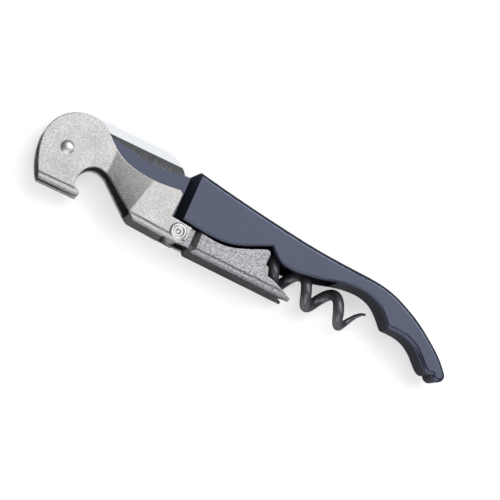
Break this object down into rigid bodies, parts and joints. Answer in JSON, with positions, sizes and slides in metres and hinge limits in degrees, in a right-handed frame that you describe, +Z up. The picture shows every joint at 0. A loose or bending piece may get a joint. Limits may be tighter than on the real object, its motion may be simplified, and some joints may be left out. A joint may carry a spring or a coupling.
{
  "type": "lever corkscrew",
  "caption": "Folded waiter's corkscrew with a two-step hinged bottle lever, crown cap notch, foil knife and a coated worm in a painted curved handle.",
  "frame": {"origin": "centre of the bounding box in plan, on the face the tool lies on", "axes": "+X along the tool from the lever head to the tail of the handle, +Y toward the back of the handle, +Z up, across the tool, away from the face it lies on"},
  "size_m": [0.1204, 0.025, 0.0138],
  "materials": {
    "handle_paint": "satin blue-black paint",
    "nickel_plate": "satin nickel plate with a fine grain",
    "rivet_steel": "bright plated rivet",
    "polished_steel": "polished stainless blade",
    "spring_steel": "plain tempered steel",
    "plain_steel": "turned steel",
    "worm_coating": "dark low-friction coating"
  },
  "bodies": {
    "handle": {"handle_body": "handle_paint", "knife_spring": "spring_steel", "spring_pins": "spring_steel", "worm_pin": "handle_paint", "worm_spacer_near": "plain_steel", "worm_spacer_far": "plain_steel"},
    "first_lever": {"first_lever": "nickel_plate", "head_rivet": "rivet_steel", "hinge_rivet": "rivet_steel"},
    "second_lever": {"second_lever": "nickel_plate", "hinge_bush": "plain_steel"},
    "knife": {"knife_blade": "polished_steel"},
    "worm": {"worm": "worm_coating"}
  },
  "joints": [
    {"name": "lever_swing", "type": "hinge", "parent": "handle", "child": "first_lever", "pos_m": [-0.05339, 0.00163, 0.0069], "axis": [0, 0, -1], "range_deg": [0, 135]},
    {"name": "second_lever_swing", "type": "hinge", "parent": "first_lever", "child": "second_lever", "pos_m": [-0.01939, -0.00617, 0.0069], "axis": [0, 0, -1], "range_deg": [0, 90]},
    {"name": "worm_swing", "type": "hinge", "parent": "handle", "child": "worm", "pos_m": [-0.01239, -0.00167, 0.0069], "axis": [0, 0, -1], "range_deg": [0, 94.5]},
    {"name": "knife_swing", "type": "hinge", "parent": "handle", "child": "knife", "pos_m": [-0.05339, 0.00163, 0.0069], "axis": [0, 0, 1], "range_deg": [0, 165]}
  ],
  "couplings": [
    {"joint": "worm_swing", "follows": "lever_swing", "ratio": 0.7}
  ]
}
